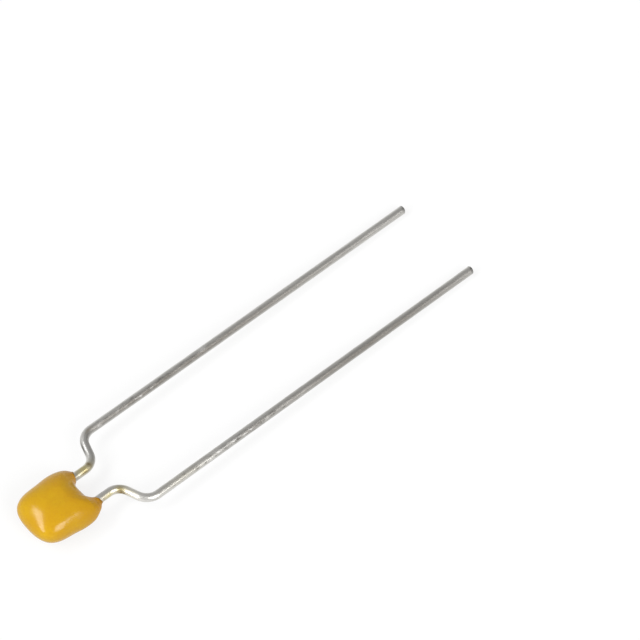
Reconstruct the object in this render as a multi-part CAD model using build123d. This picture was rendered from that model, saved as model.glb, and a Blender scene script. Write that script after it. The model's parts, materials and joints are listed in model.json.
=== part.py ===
from build123d import *

import os
from math import atan2, degrees, hypot, pi, radians, sin, tan

# Radial-leaded multilayer ceramic capacitor, millimetres.
#
# The part is laid out flat first: X runs across the two leads, Y runs along them from the dipped
# body towards the cut ends, and Z is square to both. y = 0 lies just clear of the coating's edge.
# At the end everything is tipped by a small angle, so that the belly of the body and the two cut
# wire ends lie on one floor, and the origin moves to the middle of the footprint.

# ---- Wire leads ---------------------------------------------------------------------------------
WIRE_DIAMETER = 0.45
LEAD_SPACING = 5.08  # between the straight legs that go through the board
LEAD_REACH = 23.0  # from y = 0 to the cut ends
KINK_START = 1.03  # where a lead turns outwards
KINK_RISE = 0.59  # how far the outward run climbs along Y
KINK_INNER_RADIUS = 0.80  # centreline radii of the two bends
KINK_OUTER_RADIUS = 0.85
CUT_ANGLE = 12.0  # the shear leaves each end slightly slanted, in degrees
WIRE_TAIL = 0.30  # how far a wire runs on past the chip, inside the coating

# ---- Chip: fired ceramic block with a metal cap on each end -------------------------------------
CHIP_LENGTH = 1.30  # over the caps, between the wires
CHIP_WIDTH = 1.25
CHIP_THICKNESS = 0.90
CHIP_CENTRE_Y = -2.08
CAP_THICKNESS = 0.035
CAP_BAND = 0.28  # how far a cap wraps round onto the long faces
CHIP_EDGE_CHAMFER = 0.05  # what tumbling takes off the edges of the ceramic

# ---- Inner electrodes ---------------------------------------------------------------------------
PLATES_PER_SIDE = 7
PLATE_PITCH = 0.05
PLATE_THICKNESS = 0.012
PLATE_SIDE_MARGIN = 0.14  # ceramic left along both long edges of a plate
PLATE_END_MARGIN = 0.20  # ceramic between a plate's free edge and the other cap

# ---- Solder -------------------------------------------------------------------------------------
SOLDER_GAP = 0.015  # film between a wire and its cap
SOLDER_HEIGHT = 0.36  # half height of the fillet on the cap's end face
SOLDER_CLIMB = 0.20  # how far it creeps along the wire past the chip
SOLDER_GRIP = 0.98  # how high up the wire's side it reaches, as a share of the wire's radius
# The middle of each hollow curve: its share of the way from the cap to the wire, and its share of
# the height or climb there.
FILLET_SAG = (0.29, 0.40)
CLIMB_SAG = (0.35, 0.25)

# ---- Dipped epoxy coating -----------------------------------------------------------------------
BODY_HALF_THICKNESS = 0.95
CROWN_CENTRE_Y = -1.95  # middle of the nearly flat crown on each face
CROWN_HALF_SIZE = 0.30
TOP_SHARE = 0.992  # the crown is cut flat at this share of the half thickness
LEVELS = 6  # outlines between the middle plane and each flat
# Half the outline in the middle plane, from the bottom of the drip round to the dip between the
# wires: x, y, and how full the edge is there (2 is an ellipse, more is squarer, less is leaner).
HALF_OUTLINE = [
    (0.00, -3.84, 2.0),
    (0.70, -3.78, 2.0),
    (1.23, -3.53, 2.0),
    (1.50, -3.08, 2.0),
    (1.58, -2.50, 2.0),
    (1.60, -1.87, 2.0),
    (1.60, -1.25, 2.0),
    (1.57, -0.80, 1.9),
    (1.47, -0.46, 1.8),
    (1.30, -0.22, 1.6),
    (1.10, -0.13, 1.4),
    (0.90, -0.15, 1.3),
    (0.68, -0.33, 1.3),
    (0.48, -0.50, 1.4),
    (0.27, -0.59, 1.6),
    (0.00, -0.62, 1.7),
]
LEAN = 2.5  # the cushion hangs a little askew on its wires, turned about the notch, in degrees
LEAN_PIVOT_Y = -0.60
COLLAR_TOP = -0.23  # the coating ends here at the middle of each wire
COLLAR_SLANT = 26.0  # its edge runs down towards the notch, in degrees
COLLAR_FILM = 0.04  # coating left round the wire where the resin that crept up it ends
COLLAR_LENGTH = 0.56
COLLAR_FLARE = 0.16  # how much wider the collar is at its foot

WIRE_RADIUS = WIRE_DIAMETER / 2
NECK = CHIP_LENGTH / 2 + SOLDER_GAP + WIRE_RADIUS  # a wire's distance from the middle in the body


# ---- Leads --------------------------------------------------------------------------------------
def lead(side):
    """One wire: straight beside the chip, an outward kink, then the long leg with its slanted cut."""
    inner_end = CHIP_CENTRE_Y - CHIP_WIDTH / 2 - WIRE_TAIL
    path = FilletPolyline(
        (side * NECK, inner_end),
        (side * NECK, KINK_START),
        (side * LEAD_SPACING / 2, KINK_START + KINK_RISE),
        (side * LEAD_SPACING / 2, LEAD_REACH + WIRE_DIAMETER),
        radius=[KINK_INNER_RADIUS, KINK_OUTER_RADIUS],
    )
    wire = sweep(Plane(path @ 0, z_dir=path % 0) * Circle(WIRE_RADIUS), path)
    block = 4 * WIRE_DIAMETER
    waste = Box(block, block, block, align=(Align.CENTER, Align.MIN, Align.CENTER))
    return wire - Pos(side * LEAD_SPACING / 2, LEAD_REACH, 0) * Rot(X=-CUT_ANGLE) * waste


# ---- Chip ---------------------------------------------------------------------------------------
def chip_block(skin):
    """The tumbled block of the chip, with a skin of this thickness taken off all round."""
    block = Box(CHIP_LENGTH - 2 * skin, CHIP_WIDTH - 2 * skin, CHIP_THICKNESS - 2 * skin)
    worn = chamfer(block.edges(), CHIP_EDGE_CHAMFER + CAP_THICKNESS - skin)
    return Pos(0, CHIP_CENTRE_Y, 0) * worn


def plate(index):
    """One electrode film. Even ones reach the left cap, odd ones the right cap."""
    side = -1 if index % 2 == 0 else 1
    ceramic_length = CHIP_LENGTH - 2 * CAP_THICKNESS
    length = ceramic_length - PLATE_END_MARGIN
    width = CHIP_WIDTH - 2 * CAP_THICKNESS - 2 * PLATE_SIDE_MARGIN
    height = (index - (2 * PLATES_PER_SIDE - 1) / 2) * PLATE_PITCH
    film = Box(length, width, PLATE_THICKNESS)
    return Pos(side * (ceramic_length - length) / 2, CHIP_CENTRE_Y, height) * film


def end_cap(side, ceramic):
    """The fired metal cap on one end of the block."""
    band = Box(CAP_BAND, 2 * CHIP_WIDTH, 2 * CHIP_THICKNESS)
    reach = Pos(side * (CHIP_LENGTH - CAP_BAND) / 2, CHIP_CENTRE_Y, 0) * band
    return (chip_block(0) & reach) - ceramic


# ---- Solder -------------------------------------------------------------------------------------
def solder(side, wire, block):
    """The joint between a cap's end face and the wire, hollow on its four sides as wetted solder is."""
    face = CHIP_LENGTH / 2
    along = CHIP_WIDTH / 2
    gap = NECK - face
    touch = WIRE_RADIUS * SOLDER_GRIP
    height_curve = ThreePointArc(
        (face, SOLDER_HEIGHT),
        (face + gap * FILLET_SAG[0], touch + (SOLDER_HEIGHT - touch) * FILLET_SAG[1]),
        (NECK, touch),
    )
    end_view = Polyline((NECK, touch), (NECK, -touch)) + mirror(height_curve, Plane.XZ) + height_curve
    end_view += Line((face, -SOLDER_HEIGHT), (face, SOLDER_HEIGHT))
    across = make_face(end_view)
    bar = extrude(Plane.XZ * across, along + SOLDER_CLIMB, both=True)
    plan_curve = ThreePointArc(
        (face, along - CHIP_EDGE_CHAMFER),
        (face + gap * CLIMB_SAG[0], along + SOLDER_CLIMB * CLIMB_SAG[1]),
        (NECK, along + SOLDER_CLIMB),
    )
    plan_view = plan_curve + mirror(plan_curve, Plane.XZ)
    plan_view += Line((NECK, along + SOLDER_CLIMB), (NECK, -along - SOLDER_CLIMB))
    plan_view += Line((face, along - CHIP_EDGE_CHAMFER), (face, CHIP_EDGE_CHAMFER - along))
    slab = extrude(make_face(plan_view), CHIP_THICKNESS, both=True)
    joint = Pos(0, CHIP_CENTRE_Y, 0) * (bar & slab)
    if side < 0:
        joint = mirror(joint, Plane.YZ)
    return joint - wire - block


# ---- Coating ------------------------------------------------------------------------------------
def half_outline(height):
    """The body's right half in plan at this height. Every point draws in to the crown of the face."""
    points = []
    for x, y, fullness in HALF_OUTLINE:
        share = (1 - (abs(height) / BODY_HALF_THICKNESS) ** fullness) ** (1 / fullness)
        reach = hypot(x, y - CROWN_CENTRE_Y)
        crown_x = CROWN_HALF_SIZE * x / reach
        crown_y = CROWN_CENTRE_Y + CROWN_HALF_SIZE * (y - CROWN_CENTRE_Y) / reach
        points.append((crown_x + share * (x - crown_x), crown_y + share * (y - crown_y)))
    edge = Spline(*points, tangents=[(1, 0), (-1, 0)])
    return Wire([edge, Line(points[-1], points[0])])


def pillow():
    """The cushion that the dip leaves: outlines stacked from one flat crown to the other."""
    sections = []
    for level in range(-LEVELS, LEVELS + 1):
        height = TOP_SHARE * BODY_HALF_THICKNESS * sin(pi / 2 * level / LEVELS)
        sections.append(Pos(0, 0, height) * half_outline(height))
    right = Solid.make_loft(sections)
    upright = Pos(0, -LEAN_PIVOT_Y, 0) * (right + mirror(right, Plane.YZ))
    return Pos(0, LEAN_PIVOT_Y, 0) * Rot(Z=-LEAN) * upright


def collar(side):
    """Where the resin crept up a wire: round, hollow-sided, flaring down into the body."""
    tip = WIRE_RADIUS + COLLAR_FILM
    foot = tip + COLLAR_FLARE
    flare = EllipticalCenterArc((foot, 0), COLLAR_FLARE, COLLAR_LENGTH, start_angle=180, arc_size=90)
    profile = flare + Line((foot, -COLLAR_LENGTH), (0, -COLLAR_LENGTH))
    profile += Polyline((0, -COLLAR_LENGTH), (0, tip), (tip, tip), (tip, 0))
    block = 4 * foot
    clear = Box(block, block, block, align=(Align.CENTER, Align.MIN, Align.CENTER))
    horn = revolve(make_face(profile), Axis.Y) - Rot(Z=side * COLLAR_SLANT) * clear
    return Pos(side * NECK, COLLAR_TOP, 0) * horn


# ---- Assembly -----------------------------------------------------------------------------------
chip_outside = chip_block(0)
ceramic_outside = chip_block(CAP_THICKNESS)
leads = {"left": lead(-1), "right": lead(1)}

pieces = {}
ceramic_body = ceramic_outside
for index in range(2 * PLATES_PER_SIDE):
    film = plate(index)
    row = "left" if index % 2 == 0 else "right"
    pieces[f"electrode_{row}_{index // 2 + 1}"] = film
    ceramic_body -= film
pieces["ceramic_body"] = ceramic_body

coating = pillow() + collar(-1) + collar(1) - chip_outside
for row, side in (("left", -1), ("right", 1)):
    joint = solder(side, leads[row], chip_outside)
    pieces[f"end_cap_{row}"] = end_cap(side, ceramic_outside)
    pieces[f"solder_{row}"] = joint
    pieces[f"lead_{row}"] = leads[row]
    coating -= leads[row]
    coating -= joint
pieces["epoxy_coating"] = coating

# ---- Rest ---------------------------------------------------------------------------------------
# Laid on a table, the part tips until the edge of its belly flat and both cut ends touch down.
belly = coating.faces().sort_by(Axis.Z)[0]
heel_y = belly.bounding_box().max.Y
toe_y = LEAD_REACH - WIRE_RADIUS * tan(radians(CUT_ANGLE))
tilt = degrees(atan2(TOP_SHARE * BODY_HALF_THICKNESS - WIRE_RADIUS, toe_y - heel_y))
tipped = {name: Rot(X=-tilt) * piece for name, piece in pieces.items()}
box = Compound(list(tipped.values())).bounding_box()
to_origin = Pos(-box.center().X, -box.center().Y, -box.min.Z)

os.makedirs("parts", exist_ok=True)
for name, piece in tipped.items():
    export_step(to_origin * piece, f"parts/{name}.step")

tip = (to_origin * Rot(X=-tilt) * Pos(LEAD_SPACING / 2, LEAD_REACH, 0)).position
print(f"tilt {tilt:.4f} degrees, size {box.size.X:.3f} x {box.size.Y:.3f} x {box.size.Z:.3f} mm")
print(f"middle of the right lead's cut end: {tip.X:.4f}, {tip.Y:.4f}, {tip.Z:.4f}")
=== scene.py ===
import json
from math import cos, pi, radians, sin, tan

import bpy
import numpy as np
from mathutils import Matrix, Vector


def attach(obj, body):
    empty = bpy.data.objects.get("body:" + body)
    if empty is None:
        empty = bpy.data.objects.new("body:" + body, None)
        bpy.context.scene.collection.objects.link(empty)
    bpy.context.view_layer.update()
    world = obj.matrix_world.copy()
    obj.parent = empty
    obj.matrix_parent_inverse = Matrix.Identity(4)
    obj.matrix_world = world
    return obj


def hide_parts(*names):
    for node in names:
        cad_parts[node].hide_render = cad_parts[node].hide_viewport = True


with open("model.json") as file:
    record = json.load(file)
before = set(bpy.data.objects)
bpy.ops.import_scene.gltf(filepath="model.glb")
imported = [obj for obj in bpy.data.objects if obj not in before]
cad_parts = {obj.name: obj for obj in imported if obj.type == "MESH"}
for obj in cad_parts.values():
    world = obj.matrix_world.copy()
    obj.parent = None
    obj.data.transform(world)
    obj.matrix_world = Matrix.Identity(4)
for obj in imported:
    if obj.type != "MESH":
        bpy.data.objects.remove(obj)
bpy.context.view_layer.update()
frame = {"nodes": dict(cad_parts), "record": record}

# ---- Ceramic body -------------------------------------------------------------------------------
# The block that gives the part its capacitance: thin sheets of barium titanate, stacked with the
# electrode films, pressed and fired into one piece. It keeps its solid and gets a fired finish.
CERAMIC_PALE = (0.52, 0.40, 0.28, 1)
CERAMIC_BROWN = (0.36, 0.25, 0.16, 1)
MM = 1000.0  # millimetres in a metre: textures are counted in grains per millimetre


def feed(node, inputs):
    """Gives inputs of a node their values, or links them to the outputs that are given."""
    for socket, source in inputs.items():
        if isinstance(source, bpy.types.NodeSocket):
            node.id_data.links.new(source, node.inputs[socket])
        else:
            node.inputs[socket].default_value = source


def node_adder(tree):
    """A short way to add a node to this tree, with its inputs and settings."""
    def add(kind, inputs=None, **settings):
        node = tree.nodes.new("ShaderNode" + kind)
        for key, value in settings.items():
            setattr(node, key, value)
        feed(node, inputs or {})
        return node

    return add


def new_finish(name):
    """A material, its Principled shader, and a short way to add nodes to it."""
    material = bpy.data.materials.new(name)
    material.use_nodes = True
    material.node_tree.nodes.clear()
    add = node_adder(material.node_tree)
    shader = add("BsdfPrincipled")
    add("OutputMaterial", {"Surface": shader.outputs["BSDF"]})
    return material, shader, add


def clouds(add, place, scale, detail=4.0, roughness=0.55):
    """Soft noise at this many grains per millimetre of place."""
    inputs = {"Vector": place, "Scale": scale, "Detail": detail, "Roughness": roughness}
    return add("TexNoise", inputs).outputs["Fac"]


def stretch(add, value, low, high, start=0.0, end=1.0):
    """Maps low..high of a value onto start..end, held at both ends."""
    inputs = {"Value": value, "From Min": low, "From Max": high, "To Min": start, "To Max": end}
    return add("MapRange", inputs).outputs["Result"]


def blend_colours(add, share, first, second):
    """The first colour where share is 0, the second where it is 1."""
    return add("Mix", {0: share, 6: first, 7: second}, data_type="RGBA").outputs[2]


def relief(add, height, strength, depth, under=None):
    """Fine relief up to this many metres deep, over another one if that is given."""
    inputs = {"Height": height, "Strength": strength, "Distance": depth}
    if under is not None:
        inputs["Normal"] = under
    return add("Bump", inputs).outputs["Normal"]


def dress(node, material):
    """Gives a CAD node its finish."""
    piece = frame["nodes"][node]
    piece.data.materials.clear()
    piece.data.materials.append(material)


def solid_place(add):
    """The place on a CAD node, in millimetres."""
    place = add("TexCoord").outputs["Object"]
    return add("Mapping", {"Vector": place, "Scale": (MM, MM, MM)}).outputs["Vector"]


fired_ceramic, shader, add = new_finish("fired_ceramic")
place = solid_place(add)
grain = clouds(add, place, 9.0)
feed(shader, {
    "Base Color": blend_colours(add, stretch(add, grain, 0.35, 0.65), CERAMIC_BROWN, CERAMIC_PALE),
    "Roughness": stretch(add, grain, 0.3, 0.7, 0.5, 0.68),
    "Normal": relief(add, clouds(add, place, 40.0), 0.4, 0.000004),
})
dress("ceramic_body", fired_ceramic)

# ---- Electrode films ----------------------------------------------------------------------------
# Nickel paste printed on the ceramic sheets before stacking. Every second film reaches the left
# end of the block and the others the right, so the two caps join them in turn.
FILM_DARK = (0.26, 0.25, 0.24, 1)
FILM_PALE = (0.42, 0.41, 0.39, 1)
FILMS_PER_SIDE = 7


def mottled_metal(name, scale, dull_and_dim, bright, rough, low=0.3, high=0.7, detail=4.0):
    """A bare metal with a mottle of this many grains per millimetre, whose low..high runs
    from the first to the second roughness."""
    metal, shader, add = new_finish(name)
    mottle = clouds(add, solid_place(add), scale, detail)
    feed(shader, {
        "Base Color": blend_colours(add, mottle, dull_and_dim, bright),
        "Roughness": stretch(add, mottle, low, high, *rough),
        "Metallic": 1.0,
    })
    return metal


nickel_film = mottled_metal("nickel_film", 25.0, FILM_DARK, FILM_PALE, rough=(0.35, 0.55))
for side in ("left", "right"):
    for number in range(1, FILMS_PER_SIDE + 1):
        dress(f"electrode_{side}_{number}", nickel_film)

# ---- End caps -----------------------------------------------------------------------------------
# Copper paste is fired on both ends of the block to join the films, then plated with nickel and
# tin so that solder takes to it. The band wraps a little way round onto the long faces.
CAP_DULL = (0.50, 0.49, 0.46, 1)
CAP_BRIGHT = (0.68, 0.67, 0.64, 1)

plated_cap = mottled_metal("plated_cap", 12.0, CAP_DULL, CAP_BRIGHT, rough=(0.3, 0.5))
for side in ("left", "right"):
    dress(f"end_cap_{side}", plated_cap)

# ---- Solder joints ------------------------------------------------------------------------------
# Each wire lies against a cap and is dip-soldered to it. The solder draws into hollow fillets along
# the wire and freezes with a slightly frosted skin.
SOLDER_DULL = (0.56, 0.56, 0.57, 1)
SOLDER_BRIGHT = (0.74, 0.74, 0.75, 1)

frozen_solder = mottled_metal("frozen_solder", 16.0, SOLDER_DULL, SOLDER_BRIGHT, rough=(0.22, 0.42),
                              low=0.35, high=0.65, detail=6.0)
for side in ("left", "right"):
    dress(f"solder_{side}", frozen_solder)

# ---- Wire leads ---------------------------------------------------------------------------------
# Drawn copper-clad steel wire with a tin coat, 0.45 mm thick. A forming tool kinks both wires
# outwards to the hole spacing, the tape machine grips and scratches them, and a shear cuts them.
# Sizes are in millimetres from just clear of the coating's edge: X across, Y along the wires.
WIRE_RADIUS = 0.225
LEAD_SPACING = 5.08
LEAD_REACH = 23.0
WIRE_START = -3.005
NECK = 0.89  # the wires' distance from the middle where they leave the coating
KINK_START = 1.03
KINK_RISE = 0.59
KINK_RADII = (0.80, 0.85)
CUT_ANGLE = radians(12)
WIRE_SIDES = 56
RING_STEP = 0.12  # between rings on the straight runs
ARC_STEP = 0.05  # between rings in the bends
SKIN_RIPPLE = 0.0025  # how uneven the tin coat is
RIPPLE_SQUEEZE = 0.35  # the run counts only this much in it, which draws its ripples out
# The sheared face, ring by ring inwards: share of the wire's radius, and height over the edge.
CUT_FACE = ((0.97, -0.004), (0.9, -0.001), (0.75, 0.0), (0.5, -0.006), (0.2, -0.012))
CUT_TEAR = 0.006  # how far its torn surface rises and falls
TIN_DARK = (0.36, 0.35, 0.33, 1)
TIN_MID = (0.58, 0.57, 0.545, 1)
TIN_PALE = (0.71, 0.70, 0.67, 1)
# Painted shade: the dull colour darkens the tin where its reflection should look dimmer.
TIN_DULL_PAINTED_DIM = (0.20, 0.185, 0.165, 1)
TIN_SCRAPED = (0.10, 0.095, 0.085, 1)
# The rubbed colour is a painted highlight, and also the bright of tin scraped by the grips.
TIN_RUBBED_AND_HIGHLIGHT = (0.93, 0.92, 0.90, 1)
# The score colour is partly a painted dark reflection and partly real scratches.
SCORE_AND_REFLECTION_DARK = (0.09, 0.085, 0.075, 1)
FLUX_PALE = (0.62, 0.53, 0.23, 1)
FLUX_BROWN = (0.24, 0.17, 0.07, 1)
PIT_BROWN = (0.20, 0.17, 0.13, 1)
COPPER = (0.60, 0.27, 0.13, 1)
STEEL = (0.36, 0.355, 0.35, 1)
# Marks on each wire: millimetres run from just clear of the coating and half length, degrees round
# the wire (90 is its top) and half width, and strength.
LEFT_MARKS = {
    # Painted shade: the dull marks darken the tin where its reflection should look dimmer, and make
    # it a little rougher.
    "dull_and_dim": [(9.0, 15.5, 136, 40, 1.0), (1.7, 1.0, 140, 50, -0.4)],
    "gripped": [(6.5, 4.5, 115, 45, 0.5)],
    # Painted highlights: the rubbed marks paint bright reflections into the tin's colour, some of
    # them rubbed tin as well.
    "rubbed_and_highlight": [(1.80, 0.32, 56, 14, 1.0), (0.02, 0.12, 135, 25, 0.8), (0.35, 0.30, 112, 18, 0.5),
               (9.00, 30.0, 60, 20, 0.15), (3.50, 0.08, 150, 12, 0.4), (6.20, 0.06, 140, 12, 0.5),
               (10.3, 0.20, 95, 25, 0.4)],
    # The first score here is a painted dark reflection beside the painted highlight; the others are
    # scratches.
    "scored_and_dark_reflection": [(1.82, 0.42, 25, 17, 1.0), (4.2, 0.25, 150, 14, 0.3), (6.9, 0.35, 145, 14, 0.3)],
    "flux": [(0.32, 0.45, 105, 65, 1.0)],
    "burnt": [(0.72, 0.09, 95, 42, 0.9), (0.35, 0.28, 148, 12, 0.8), (2.85, 0.25, 100, 16, 0.5)],
}
RIGHT_MARKS = {
    # Painted shade: the dull marks darken the tin's reflection, mostly along the far stretch, and
    # make it a little rougher.
    "dull_and_dim": [(1.0, 2.0, 90, 40, 0.1), (17.0, 9.0, 135, 50, 1.0), (8.7, 1.4, 132, 35, 0.35)],
    "gripped": [(8.0, 4.0, 140, 45, 1.0)],
    # Painted highlights: the rubbed marks paint bright reflections on the kink's outward run.
    "rubbed_and_highlight": [(1.85, 0.55, 150, 45, 0.8), (1.70, 0.50, 75, 45, 0.7)],
    "scored_and_dark_reflection": [(5.5, 0.10, 140, 14, 0.5), (7.3, 0.10, 142, 16, 0.6), (8.1, 0.14, 138, 16, 0.7),
               (9.8, 0.08, 136, 14, 0.6)],
    "flux": [(0.30, 0.40, 155, 40, 0.8), (1.10, 0.30, 125, 60, 0.8), (1.70, 0.40, 130, 70, 0.35),
             (4.50, 1.50, 120, 60, 0.12)],
    "burnt": [(1.12, 0.24, 168, 27, 1.0), (1.05, 0.16, 115, 35, 0.5), (1.32, 0.14, 180, 16, 0.7),
              (0.02, 0.08, 150, 60, 0.4)],
}

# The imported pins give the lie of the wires: the whole part is tipped until it rests on its belly
# and both cut ends.
pin = next(mount for mount in frame["record"]["mounts"] if mount["name"] == "lead_right_pin")
along = Vector(pin["axis"])
across = Vector((1, 0, 0))
upwards = across.cross(along)
pin_middle = LEAD_REACH - pin["dims"]["length_mm"] / 2
coat_edge = Vector(pin["pos_m"]) - along * (pin_middle / MM)
coat_edge.x = 0
lie = Matrix((across, along, upwards)).transposed().to_4x4()
lie.translation = coat_edge
lie = lie @ Matrix.Scale(1 / MM, 4)


def wire_route(side):
    """Centreline points, directions and lengths run of one wire: straight runs and round bends."""
    corners = [
        np.array((side * NECK, WIRE_START)),
        np.array((side * NECK, KINK_START)),
        np.array((side * LEAD_SPACING / 2, KINK_START + KINK_RISE)),
        np.array((side * LEAD_SPACING / 2, LEAD_REACH)),
    ]
    points = [corners[0]]

    def run_to(target):
        start = points[-1]
        count = max(1, round(np.linalg.norm(target - start) / RING_STEP))
        points.extend(start + (target - start) * step / count for step in range(1, count + 1))

    for index, radius in enumerate(KINK_RADII, start=1):
        before = corners[index] - corners[index - 1]
        after = corners[index + 1] - corners[index]
        before /= np.linalg.norm(before)
        after /= np.linalg.norm(after)
        turn = np.arctan2(before[0] * after[1] - before[1] * after[0], before @ after)
        run_to(corners[index] - before * radius * tan(abs(turn) / 2))
        centre = points[-1] + np.sign(turn) * radius * np.array((-before[1], before[0]))
        spoke = points[-1] - centre
        count = round(radius * abs(turn) / ARC_STEP)
        for step in range(1, count + 1):
            swept = turn * step / count
            points.append(centre + (spoke[0] * cos(swept) - spoke[1] * sin(swept),
                                    spoke[0] * sin(swept) + spoke[1] * cos(swept)))
    run_to(corners[-1])
    points = np.array(points)
    directions = np.gradient(points, axis=0)
    directions /= np.linalg.norm(directions, axis=1)[:, None]
    steps = np.linalg.norm(np.diff(points, axis=0), axis=1)
    return points, directions, np.concatenate(([0], np.cumsum(steps)))


def waves(seed, places, count, shortest, longest):
    """A smooth uneven value along places, about -1 to 1: a sum of sine waves of chance lengths."""
    chance = np.random.default_rng(seed)
    total = np.zeros(np.shape(places)[:-1])
    for _ in range(count):
        direction = chance.normal(size=np.shape(places)[-1])
        direction /= np.linalg.norm(direction)
        length = chance.uniform(shortest, longest)
        total += np.sin(2 * pi * (places @ direction) / length + chance.uniform(0, 2 * pi))
    return total / count ** 0.5 / 1.5  # the sum seldom passes 1.5 times the root of the count


def mesh_piece(name, points, faces, finish_of_face, finishes):
    """A smooth-shaded piece from points in millimetres, laid as the part lies."""
    mesh = bpy.data.meshes.new(name)
    mesh.from_pydata(points.tolist(), [], faces)
    mesh.transform(lie)
    for finish in finishes:
        mesh.materials.append(finish)
    mesh.polygons.foreach_set("material_index", finish_of_face)
    mesh.polygons.foreach_set("use_smooth", [True] * len(mesh.polygons))
    mesh.validate()
    mesh.update()
    piece = bpy.data.objects.new(name, mesh)
    bpy.context.scene.collection.objects.link(piece)
    return piece


def note(piece, name, values):
    """Writes one value or one place for each point of the mesh, for the finish to read."""
    kind, key = ("FLOAT", "value") if np.ndim(values) == 1 else ("FLOAT_VECTOR", "vector")
    layer = piece.data.attributes.new(name, kind, "POINT")
    layer.data.foreach_set(key, np.asarray(values, np.float32).ravel())


def wire_rings(side, seed):
    """Rings of points along one wire, and where each point lies on its skin: the place across it,
    from its middle, and the length run."""
    points, directions, runs = wire_route(side)
    turns = 2 * pi * np.arange(WIRE_SIDES) / WIRE_SIDES
    sideways = np.stack((-directions[:, 1], directions[:, 0]), 1)
    rings, laid = [], []
    for point, normal, run in zip(points, sideways, runs):
        skin = np.stack((np.cos(turns), np.sin(turns), np.full(WIRE_SIDES, run)), 1)
        places = skin * (WIRE_RADIUS, WIRE_RADIUS, RIPPLE_SQUEEZE)
        ripple = np.clip(waves(seed, places, count=10, shortest=0.12, longest=0.7), -1, 1)
        radius = WIRE_RADIUS - SKIN_RIPPLE * (1 + ripple)
        ring = np.zeros((WIRE_SIDES, 3))
        ring[:, :2] = point + np.outer(radius * np.cos(turns), normal)
        ring[:, 2] = radius * np.sin(turns)
        rings.append(ring)
        laid.append(skin * (WIRE_RADIUS, WIRE_RADIUS, 1))
    return rings, laid


def shear_end(rings, laid, side, seed):
    """Slants the last ring as the shear does, and adds the rings of the face it leaves: an edge
    that is rolled over, and a torn and slightly hollow middle."""
    end = rings[-1]
    end[:, 1] = LEAD_REACH + end[:, 2] * tan(CUT_ANGLE)
    middle = np.array((side * LEAD_SPACING / 2, LEAD_REACH, 0))
    for share, height in CUT_FACE:
        face = middle + (end - middle) * share
        face[:, 1] += height + CUT_TEAR * waves(seed, face, count=8, shortest=0.03, longest=0.15)
        rings.append(face)
        laid.append(laid[-1] * (0, 0, 1) + (end - middle)[:, [0, 2, 1]] * (share, share, 0))


def tube_faces(ring_count, tin_rings):
    """Faces of a tube of rings that is closed at both ends, and which finish each one takes: 0
    for the tin, 1 for the sheared face past the tin's rings."""
    faces, finish_of_face = [], []
    for row in range(ring_count - 1):
        for column in range(WIRE_SIDES):
            a = 1 + row * WIRE_SIDES + column
            b = 1 + row * WIRE_SIDES + (column + 1) % WIRE_SIDES
            faces.append((a, b, b + WIRE_SIDES, a + WIRE_SIDES))
            finish_of_face.append(int(row >= tin_rings))
    tip = 1 + ring_count * WIRE_SIDES
    for column in range(WIRE_SIDES):
        after = (column + 1) % WIRE_SIDES
        faces.append((0, 1 + after, 1 + column))
        faces.append((tip, tip - WIRE_SIDES + column, tip - WIRE_SIDES + after))
        finish_of_face += [0, 1]
    return faces, finish_of_face


def mark_strength(patches, run, around):
    """How strongly one kind of mark shows at each point, from its run and angle on the wire."""
    strength = np.zeros(len(run))
    for middle, half_length, angle, half_width, most in patches:
        off = (around - angle + 180) % 360 - 180
        strength += most * np.exp(-((run - middle) / half_length) ** 2 - (off / half_width) ** 2)
    return np.clip(strength, 0, 1)


def wire_lead(side, name, seed, marks):
    """One wire as a closed piece, with what its finish reads noted at each point."""
    rings, laid = wire_rings(side, seed)
    tin_rings = len(rings)
    shear_end(rings, laid, side, seed + 1)
    root = (side * NECK, WIRE_START, 0)
    points = np.concatenate([[root], *rings, [rings[-1].mean(0)]])
    faces, finish_of_face = tube_faces(len(rings), tin_rings)
    piece = mesh_piece(name, points, faces, finish_of_face, [tinned_wire, cut_wire])
    laid = np.concatenate([[(0, 0, 0)], *laid, [laid[-1][0] * (0, 0, 1)]])
    note(piece, "skin", laid + (seed, 0, 0))  # shifted, so that the two wires don't match
    around = np.degrees(np.arctan2(laid[:, 1], laid[:, 0]))
    for kind, patches in marks.items():
        note(piece, kind, mark_strength(patches, laid[:, 2] + WIRE_START, around))
    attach(piece, "root")
    return piece


# Tin with lengthwise drawing streaks, rougher stretches with painted shade that dims their
# reflection, scrapes where it was gripped, pits, painted highlights, and yellow to burnt flux where
# it was hot.
tinned_wire, shader, add = new_finish("tinned_wire")
skin = add("Attribute", attribute_name="skin").outputs["Vector"]
dull_and_dim, gripped, rubbed_and_highlight, scored_and_dark_reflection, flux, burnt = (
    add("Attribute", attribute_name=kind).outputs["Fac"] for kind in LEFT_MARKS)


def drawn(add, skin, scale, squeeze, detail=5.0):
    """Noise drawn out along the wire: squeeze is its scale along the run as a share."""
    place = add("Mapping", {"Vector": skin, "Scale": (1, 1, squeeze)}).outputs["Vector"]
    return clouds(add, place, scale, detail=detail)


def times(add, first, second):
    """Two values multiplied."""
    return add("Math", {0: first, 1: second}, operation="MULTIPLY").outputs[0]


def plus(add, first, second):
    """Two values added."""
    return add("Math", {0: first, 1: second}, operation="ADD").outputs[0]


def layered(add, colour, layers):
    """A colour with others laid over it in turn, each as strongly as its share."""
    for share, over in layers:
        colour = blend_colours(add, share, colour, over)
    return colour


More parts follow.
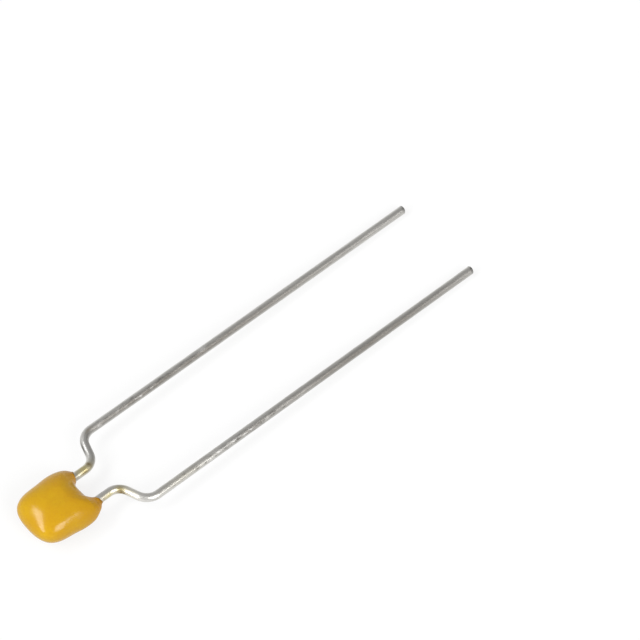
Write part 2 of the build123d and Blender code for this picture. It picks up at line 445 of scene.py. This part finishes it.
streaks = drawn(add, skin, 16.0, 0.05)
patches = drawn(add, skin, 3.2, 0.30)
grips = drawn(add, skin, 20.0, 0.40, detail=7.0)
scrapes = drawn(add, skin, 8.0, 0.28)
specks = drawn(add, skin, 30.0, 0.8, detail=2.0)
flux_film = drawn(add, skin, 5.0, 0.6)
scorch = drawn(add, skin, 9.0, 0.8)
bare_tin = blend_colours(add, stretch(add, streaks, 0.32, 0.68), TIN_MID, TIN_PALE)
tin = layered(add, bare_tin, [
    # Painted shade: the dull marks dim the tin's reflection.
    (times(add, dull_and_dim, stretch(add, streaks, 0.2, 0.5, 0.8, 1.0)), TIN_DULL_PAINTED_DIM),
    (stretch(add, patches, 0.50, 0.70, 0.0, 0.35), TIN_DARK),
    (stretch(add, grips, 0.57, 0.66, 0.0, 0.45), TIN_DARK),
    (times(add, gripped, stretch(add, scrapes, 0.57, 0.66)), TIN_SCRAPED),
    (times(add, gripped, stretch(add, scrapes, 0.44, 0.36, 0.0, 0.45)), TIN_RUBBED_AND_HIGHLIGHT),
    (stretch(add, specks, 0.67, 0.72, 0.0, 0.8), PIT_BROWN),
    # Painted highlights: the rubbed marks brighten the tin, with some rubbed tin among them.
    (times(add, rubbed_and_highlight, stretch(add, streaks, 0.25, 0.5, 0.7, 1.0)), TIN_RUBBED_AND_HIGHLIGHT),
    (times(add, flux, stretch(add, flux_film, 0.30, 0.55, 0.7, 1.0)), FLUX_PALE),
    (times(add, burnt, stretch(add, scorch, 0.30, 0.50, 0.4, 1.0)), FLUX_BROWN),
    # Partly a painted dark reflection, partly real scratches.
    (scored_and_dark_reflection, SCORE_AND_REFLECTION_DARK),
])
rough = stretch(add, streaks, 0.3, 0.7, 0.26, 0.38)
rough = plus(add, rough, stretch(add, grips, 0.5, 0.7, 0.0, 0.18))
rough = plus(add, rough, times(add, dull_and_dim, 0.14))
furrows = relief(add, streaks, 0.5, 0.000006)
feed(shader, {
    "Base Color": tin,
    "Roughness": rough,
    "Metallic": 1.0,
    "Normal": relief(add, grips, 0.6, 0.000005, under=furrows),
})

# The shear smears the copper cladding over the steel core.
cut_wire, shader, add = new_finish("cut_wire")
skin = add("Attribute", attribute_name="skin").outputs["Vector"]
smear = add("Mapping", {"Vector": skin, "Scale": (1, 0.3, 1)}).outputs["Vector"]
tear = clouds(add, smear, 30.0)
feed(shader, {
    "Base Color": blend_colours(add, stretch(add, tear, 0.4, 0.6), STEEL, COPPER),
    "Roughness": stretch(add, tear, 0.3, 0.7, 0.3, 0.55),
    "Metallic": 1.0,
})

left_wire = wire_lead(-1, "left_wire", seed=3, marks=LEFT_MARKS)
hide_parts("lead_left")
right_wire = wire_lead(1, "right_wire", seed=8, marks=RIGHT_MARKS)
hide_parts("lead_right")

# ---- Dipped coating -----------------------------------------------------------------------------
# The soldered chip is dipped in golden epoxy and hung by its wires to cure. The resin rounds into
# a cushion, creeps a little way up both wires and leaves a notch between them.
HALF_THICKNESS = 0.95
CROWN_Y = -1.95  # the middle of the flat crown on each face
CROWN_RADIUS = 0.30
TOP_SHARE = 0.992  # the crowns are levelled at this share of the half thickness
TOP_ROUND = 0.012  # and this softly
# Half the outline in the middle plane, from the drip to the notch: x, y, and how full the edge is.
HALF_OUTLINE = np.array([
    (0.00, -3.84, 2.0), (0.70, -3.78, 2.0), (1.23, -3.53, 2.0), (1.50, -3.08, 2.0),
    (1.58, -2.50, 2.0), (1.60, -1.87, 2.0), (1.60, -1.25, 2.0), (1.57, -0.80, 1.9),
    (1.47, -0.46, 1.8), (1.30, -0.22, 1.6), (1.10, -0.13, 1.4), (0.90, -0.15, 1.3),
    (0.68, -0.33, 1.3), (0.48, -0.50, 1.4), (0.27, -0.59, 1.6), (0.00, -0.62, 1.7),
])
EDGE_SAMPLES = 600  # points read off the smooth curve through them
NOTCH_SPREAD = radians(22)  # how widely the notch is levelled over the face
NOTCH_FROM = radians(40)  # and which part of the outline that takes in, as angles at the crown
NOTCH_FADE = radians(25)
LEAN = radians(2.5)  # the cushion hangs a little askew on its wires, turned about the notch
LEAN_PIVOT_Y = -0.60
# The right shoulder is fuller underneath and slacker by its wire, and the left one is fuller on
# top: side, height, angle at the crown, spread of that angle, and rise.
SHOULDERS = (
    (1, -0.30, radians(16), radians(15), 0.09), (1, -0.30, radians(33), radians(11), 0.07),
    (1, -0.30, radians(51), radians(11), -0.06), (-1, 0.35, radians(21), radians(21), 0.07),
)
SHOULDER_SPREAD = 0.45  # how far up and down from its height a rise spreads
UNDERSIDE_FULLER = 0.5  # how much fuller the edge gets towards the belly
COLLAR_TOP = -0.23  # the coating ends here at the middle of each wire
COLLAR_SLANT = radians(26)  # its edge runs down towards the notch
COLLAR_FILM = 0.022  # how thick the resin is there
COLLAR_LENGTH = 0.56
COLLAR_FLARE = 0.16  # how much thicker it gets over that length
COLLAR_ROOT = 0.8  # how deep the collars start, well inside the body
EDGE_BLEND = 0.12  # how softly a collar runs into the body, by its edge and at its foot
FOOT_BLEND = 0.32
FILM_ROUND = 0.03  # how round the rim of a collar is
SAG_DEPTH = 0.022  # how uneven the cured surface is
SAG_SEED = 21
BELLY_CALM = 0.25  # it gets even this near the belly, which rests on the table
FILM_REACH = 1.15  # the resin is thinner this near the wires
PAINTED_LIGHT_FROM = -0.60  # painted light: its gold is lighter from here, over this length, towards the drip, the end the lamps face
PAINTED_LIGHT_REACH = 3.0
GOLD = (0.465, 0.255, 0.002, 1)
# Painted light: the lighter gold of the drip end, which faces the lamps.
GOLD_PAINTED_LIT = (0.535, 0.317, 0.003, 1)
GOLD_DEEP = (0.430, 0.187, 0.002, 1)
GOLD_SPECK = (0.400, 0.200, 0.020, 1)
GOLD_RIM = (0.160, 0.085, 0.012, 1)
# The surface is found on a net of cells in this box, then settled and evened out in rounds.
NET_LOW = (-1.75, -3.95, -1.25)
NET_HIGH = (1.75, 0.15, 1.25)
CELL = 0.042
SETTLE_ROUNDS = 6
EVEN_ROUNDS = 8
RESETTLE_ROUNDS = 2
PROBE = 1e-4  # how far to each side the depth is read to find its slope
LEAST_SLOPE = 0.05  # the least square of it that counts, so that no place is thrown far
NEAR_ZERO = 1e-6  # least distance out, as inside the crown's radius it would fall below 0


def spline_through(points, first_slope, last_slope, count):
    """Samples of the smooth curve through these points, with given slopes at its two ends."""
    gaps = np.linalg.norm(np.diff(points[:, :2], axis=0), axis=1)
    number = len(points)
    matrix, right = np.eye(number), np.zeros_like(points)
    right[0], right[-1] = first_slope, last_slope
    for row in range(1, number - 1):
        before, after = gaps[row - 1], gaps[row]
        matrix[row, row - 1:row + 2] = after, 2 * (before + after), before
        right[row] = 3 * (after / before * (points[row] - points[row - 1])
                          + before / after * (points[row + 1] - points[row]))
    slopes = np.linalg.solve(matrix, right)
    knots = np.concatenate(([0], np.cumsum(gaps)))
    where = np.linspace(0, knots[-1], count)
    span = np.clip(np.searchsorted(knots, where, side="right") - 1, 0, number - 2)
    t = ((where - knots[span]) / gaps[span])[:, None]
    gap = gaps[span][:, None]
    return ((1 + 2 * t) * (1 - t) ** 2 * points[span] + t * (1 - t) ** 2 * gap * slopes[span]
            + t * t * (3 - 2 * t) * points[span + 1] + t * t * (t - 1) * gap * slopes[span + 1])


edge = spline_through(HALF_OUTLINE, (1, 0, 0), (-1, 0, 0), EDGE_SAMPLES)
edge_angle = np.arctan2(edge[:, 1] - CROWN_Y, edge[:, 0])
edge_reach = np.hypot(edge[:, 0], edge[:, 1] - CROWN_Y)

angle_steps = np.radians(np.arange(-90, 91))


def levelled(values):
    """Values round the outline, smoothed near the notch: over the face it is one broad hollow."""
    at_steps = np.interp(angle_steps, edge_angle, values)
    spread = np.exp(-(angle_steps / NOTCH_SPREAD) ** 2 / 2)
    other_half = at_steps[-2:0:-1]
    all_round = np.concatenate([other_half, at_steps, other_half])
    smooth = np.convolve(all_round, spread / spread.sum(), "same")
    smooth = smooth[len(other_half):len(other_half) + len(at_steps)]
    near_notch = np.clip((angle_steps - NOTCH_FROM) / NOTCH_FADE, 0, 1)
    return at_steps + (smooth - at_steps) * near_notch ** 2 * (3 - 2 * near_notch)


level_reach = levelled(edge_reach)
level_fullness = levelled(edge[:, 2])


def smaller(first, second, softness):
    """The smaller of two values, with the change from one to the other rounded off."""
    share = np.clip(0.5 + (second - first) / (2 * softness), 0, 1)
    return second + (first - second) * share - softness * share * (1 - share)


def cushion_depth(places):
    """Below 0 inside the dipped body, 0 on its surface, above 0 outside, without the collars."""
    below = places[:, 1] - LEAN_PIVOT_Y
    side = places[:, 0] * cos(LEAN) - below * sin(LEAN)
    y = LEAN_PIVOT_Y + below * cos(LEAN) + places[:, 0] * sin(LEAN)
    angle = np.arctan2(y - CROWN_Y, np.abs(side))
    height = np.abs(places[:, 2]) / HALF_THICKNESS
    face = np.clip(height, 0, 1)
    reach = np.interp(angle, edge_angle, edge_reach)
    reach += (np.interp(angle, angle_steps, level_reach) - reach) * face
    for hand, level, middle, width, rise in SHOULDERS:
        near = np.exp(-((places[:, 2] - level) / SHOULDER_SPREAD) ** 2) * (side * hand > 0)
        reach += rise * np.exp(-((angle - middle) / width) ** 2) * near
    fullness = np.interp(angle, edge_angle, edge[:, 2])
    fullness += (np.interp(angle, angle_steps, level_fullness) - fullness) * face
    fullness += UNDERSIDE_FULLER * np.clip(-places[:, 2] / HALF_THICKNESS, 0, 1)
    out = np.hypot(side, y - CROWN_Y) - CROWN_RADIUS
    out = np.maximum(out, NEAR_ZERO) / (reach - CROWN_RADIUS)
    cushion = (out ** fullness + height ** fullness) ** (1 / fullness) - 1
    return -smaller(-cushion, TOP_SHARE - height, TOP_ROUND)


def coat_depth(places):
    """The same for the whole coating: the cushion and the collar that crept up each wire."""
    outward = np.abs(places[:, 0]) - NECK
    crept = places[:, 1] - COLLAR_TOP
    drop = np.clip(-crept / COLLAR_LENGTH, 0, 1)  # 0 at a collar's edge, 1 at its foot
    flare = COLLAR_FLARE * (1 - np.sqrt(1 - drop * drop))
    collar = np.hypot(outward, places[:, 2]) - (WIRE_RADIUS + COLLAR_FILM + flare)
    past_edge = crept * cos(COLLAR_SLANT) - outward * sin(COLLAR_SLANT)
    collar = -smaller(-collar, -past_edge, FILM_ROUND)
    collar = np.maximum(collar, -crept - COLLAR_ROOT)
    blend = EDGE_BLEND + (FOOT_BLEND - EDGE_BLEND) * drop
    return smaller(cushion_depth(places), collar, blend)


def slope_at(places):
    """How fast the coating's depth grows at each place, along X, Y and Z."""
    return np.stack([(coat_depth(places + step) - coat_depth(places - step)) / (2 * PROBE)
                     for step in np.eye(3) * PROBE], 1)


def settle(places, rounds):
    """Moves places onto the coating's surface."""
    for _ in range(rounds):
        slope = slope_at(places)
        size = np.maximum((slope ** 2).sum(1), LEAST_SLOPE)
        places = places - slope * (coat_depth(places) / size)[:, None]
    return places


def net_over(depth_of, low, high, cell):
    """Points and four-sided faces of the surface where depth_of is 0, one point to a grid cell."""
    axes = [np.arange(a, b + cell, cell) for a, b in zip(low, high)]
    shape = tuple(len(axis) for axis in axes)
    grid = np.stack(np.meshgrid(*axes, indexing="ij"), -1)
    inside = (depth_of(grid.reshape(-1, 3)) < 0).reshape(shape)
    corners = sum(inside[i:shape[0] - 1 + i, j:shape[1] - 1 + j, k:shape[2] - 1 + k].astype(int)
                  for i in (0, 1) for j in (0, 1) for k in (0, 1))
    crossed = (corners > 0) & (corners < 8)  # cells with some of their 8 corners inside
    number = np.full(crossed.shape, -1)
    number[crossed] = np.arange(crossed.sum())
    points = grid[:-1, :-1, :-1][crossed] + cell / 2
    faces = []
    for axis in range(3):
        # Each grid edge that the surface crosses gets a face between the four cells round it.
        before = np.take(inside, range(shape[axis] - 1), axis)
        after = np.take(inside, range(1, shape[axis]), axis)
        at = np.argwhere(before != after)
        leaving = before[tuple(at.T)]
        one, two = np.eye(3, dtype=int)[(axis + 1) % 3], np.eye(3, dtype=int)[(axis + 2) % 3]
        around = [number[tuple((at - shift).T)] for shift in (one + two, two, 0 * one, one)]
        quads = np.stack(around, 1)
        faces.append(np.where(leaving[:, None], quads, quads[:, ::-1]))
    return points, np.concatenate(faces)


def coat_net():
    """Points and faces of the coating's surface, with each point amid its neighbours."""
    places, faces = net_over(coat_depth, NET_LOW, NET_HIGH, CELL)
    places = settle(places, SETTLE_ROUNDS)
    pairs = np.concatenate([faces[:, [i, (i + 1) % 4]] for i in range(4)])
    for _ in range(EVEN_ROUNDS):
        total, count = np.zeros_like(places), np.zeros(len(places))
        for first, second in (pairs.T, pairs.T[::-1]):
            np.add.at(total, first, places[second])
            np.add.at(count, first, 1)
        places = settle(total / count[:, None], RESETTLE_ROUNDS)
    return places, faces


places, faces = coat_net()

# The cured surface sags unevenly, except in the thin film by the wires and on the belly.
away = np.hypot(np.abs(places[:, 0]) - NECK, places[:, 2])
away += np.maximum(COLLAR_TOP - places[:, 1], 0) - WIRE_RADIUS
film = np.clip(1 - away / FILM_REACH, 0, 1)
belly = np.clip((places[:, 2] + HALF_THICKNESS) / BELLY_CALM, 0, 1)
sag = (1 + waves(SAG_SEED, places, count=9, shortest=0.9, longest=2.6)) / 2
sag *= SAG_DEPTH * (1 - film) * belly
outwards = slope_at(places)
outwards /= np.linalg.norm(outwards, axis=1)[:, None]
uneven = places - outwards * sag[:, None]

# Golden epoxy with pigment grain, painted lighter towards the drip where the lamps fall, deeper
# where it is thin and brown at the rims of the collars.
golden_epoxy, shader, add = new_finish("golden_epoxy")
skin = add("Attribute", attribute_name="skin").outputs["Vector"]
thin = add("Attribute", attribute_name="film").outputs["Fac"]
painted_lit_end = add("Attribute", attribute_name="painted_lit_end").outputs["Fac"]
drift = clouds(add, skin, 0.9, detail=2.0)
pigment = clouds(add, skin, 9.0, detail=6.0, roughness=0.65)
grit = clouds(add, skin, 26.0, detail=3.0)
gold = layered(add, GOLD, [
    # Painted light: lighter towards the drip end, which faces the lamps.
    (painted_lit_end, GOLD_PAINTED_LIT),
    (stretch(add, drift, 0.35, 0.7, 0.0, 0.35), GOLD_DEEP),
    (stretch(add, thin, 0.15, 1.0, 0.0, 0.9), GOLD_DEEP),
    (stretch(add, pigment, 0.45, 0.75, 0.0, 0.4), GOLD_DEEP),
    (stretch(add, grit, 0.66, 0.74, 0.0, 0.7), GOLD_SPECK),
    (stretch(add, thin, 0.90, 0.98, 0.0, 0.7), GOLD_RIM),
])
rough = stretch(add, pigment, 0.3, 0.7, 0.15, 0.21)
peel = relief(add, clouds(add, skin, 3.5, detail=2.0), 0.3, 0.000012)
feed(shader, {
    "Base Color": gold,
    "Roughness": plus(add, rough, stretch(add, thin, 0.1, 0.8, 0.0, 0.1)),
    "Specular IOR Level": 0.34,
    "Normal": relief(add, grit, 0.35, 0.000002, under=peel),
})

coating = mesh_piece("dipped_coating", uneven, faces.tolist(), [0] * len(faces), [golden_epoxy])
note(coating, "skin", places)
note(coating, "film", film)
note(coating, "painted_lit_end", np.clip((PAINTED_LIGHT_FROM - places[:, 1]) / PAINTED_LIGHT_REACH, 0, 1))
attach(coating, "root")
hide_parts("epoxy_coating")

# ---- Table --------------------------------------------------------------------------------------
# A plain white sheet under the part. Seen straight or in a reflection, most of it shines white by
# itself, and the rest keeps the part's shadow.
TABLE_SIZE = 3.0  # metres
TABLE_WHITE = (0.82, 0.82, 0.82, 1)
TABLE_SHADED = (0.60, 0.60, 0.60, 1)  # what it throws back onto the part
GLOW_SHARE = 0.80

half = TABLE_SIZE / 2
table_mesh = bpy.data.meshes.new("table")
corners = [(-half, -half, 0), (half, -half, 0), (half, half, 0), (-half, half, 0)]
table_mesh.from_pydata(corners, [], [(0, 1, 2, 3)])
table = bpy.data.objects.new("table", table_mesh)
bpy.context.scene.collection.objects.link(table)


def larger(add, first, second):
    """The larger of two values."""
    return add("Math", {0: first, 1: second}, operation="MAXIMUM").outputs[0]


white_sheet, shader, add = new_finish("white_sheet")
ray = add("LightPath").outputs
seen = larger(add, larger(add, ray["Is Camera Ray"], ray["Is Glossy Ray"]),
              ray["Is Transmission Ray"])
feed(shader, {
    "Base Color": blend_colours(add, seen, TABLE_SHADED, TABLE_WHITE),
    "Roughness": 1.0,
    "Specular IOR Level": 0.0,
})
glow = add("Emission", {"Color": (1, 1, 1, 1), "Strength": 1.0})
sheet = add("MixShader", {0: times(add, seen, GLOW_SHARE), 1: shader.outputs["BSDF"],
                          2: glow.outputs["Emission"]})
output = next(node for node in white_sheet.node_tree.nodes if node.type == "OUTPUT_MATERIAL")
feed(output, {"Surface": sheet.outputs[0]})
table_mesh.materials.append(white_sheet)

# ---- Camera -------------------------------------------------------------------------------------
# A long lens looks down from the coated end's side, over the right wire, as a product shot does.
# It stands far off, so that the wires hardly draw together, and is tipped a little to one side.
# Millimetres, measured as the wires are.
AIM = Vector((0.26, 14.84, 0.70))
DISTANCE = 238.4
AZIMUTH = radians(46.17)
ELEVATION = radians(53.61)
ROLL = radians(2.3)
LENS = 269.2
SENSOR = 36.0

back = Vector((sin(AZIMUTH) * cos(ELEVATION), -cos(AZIMUTH) * cos(ELEVATION), sin(ELEVATION)))
level = Vector((cos(AZIMUTH), sin(AZIMUTH), 0))
rise = back.cross(level)
right = level * cos(ROLL) + rise * sin(ROLL)
up = rise * cos(ROLL) - level * sin(ROLL)
turn = lie.to_3x3() * MM
camera_data = bpy.data.cameras.new("camera")
camera_data.lens = LENS
camera_data.sensor_width = SENSOR
camera_data.clip_start = 0.005
camera_data.clip_end = 20.0
camera = bpy.data.objects.new("camera", camera_data)
bpy.context.scene.collection.objects.link(camera)
camera.matrix_world = Matrix((turn @ right, turn @ up, turn @ back)).transposed().to_4x4()
camera.matrix_world.translation = lie @ (AIM + back * DISTANCE)
bpy.context.scene.camera = camera

# ---- Lamps and room -----------------------------------------------------------------------------
# Two long soft boxes stand in front of the coated end and to its right, and show as the bright
# streaks on its shoulder. The room is pale round the horizon, dimmer overhead and a little darker
# past the wires' ends.
LAMP_DISTANCE = 0.40  # metres from the coating's edge
# How pale the room is by how high one looks, and how strong by how far along the wires one looks:
# from, to, and the values there.
ROOM_BY_HEIGHT = (0.05, 0.60, 0.78, 0.52)
ROOM_BY_LENGTH = (0.42, 0.95, 1.0, 0.65)


def soft_box(name, first_end, last_end, height, power):
    """A long lamp facing the coated body. Its ends are given as azimuth and elevation in degrees,
    and its height is in metres."""
    ends = []
    for azimuth, elevation in (first_end, last_end):
        a, e = radians(azimuth), radians(elevation)
        ends.append(Vector((sin(a) * cos(e), -cos(a) * cos(e), sin(e))) * LAMP_DISTANCE)
    middle = (ends[0] + ends[1]) / 2
    away = middle.normalized()
    length_way = (ends[1] - ends[0]).normalized()
    length_way = (length_way - away * length_way.dot(away)).normalized()
    lamp_data = bpy.data.lights.new(name, "AREA")
    lamp_data.shape = "RECTANGLE"
    lamp_data.size = (ends[1] - ends[0]).length
    lamp_data.size_y = height
    lamp_data.energy = power
    lamp = bpy.data.objects.new(name, lamp_data)
    bpy.context.scene.collection.objects.link(lamp)
    facing = Matrix((length_way, away.cross(length_way), away)).transposed().to_4x4()
    lamp.matrix_world = Matrix.Translation(coat_edge + middle) @ facing


soft_box("left_box", (-63, 54), (5, 20), height=0.092, power=0.98)
soft_box("right_box", (69, 41), (105, 29), height=0.20, power=1.00)

world = bpy.data.worlds.new("room")
world.use_nodes = True
bpy.context.scene.world = world
add = node_adder(world.node_tree)
looked = add("SeparateXYZ", {0: add("TexCoord").outputs["Generated"]}).outputs
feed(world.node_tree.nodes["Background"], {
    "Color": stretch(add, looked["Z"], *ROOM_BY_HEIGHT),
    "Strength": stretch(add, looked["Y"], *ROOM_BY_LENGTH),
})

bpy.context.scene.view_settings.view_transform = "Standard"
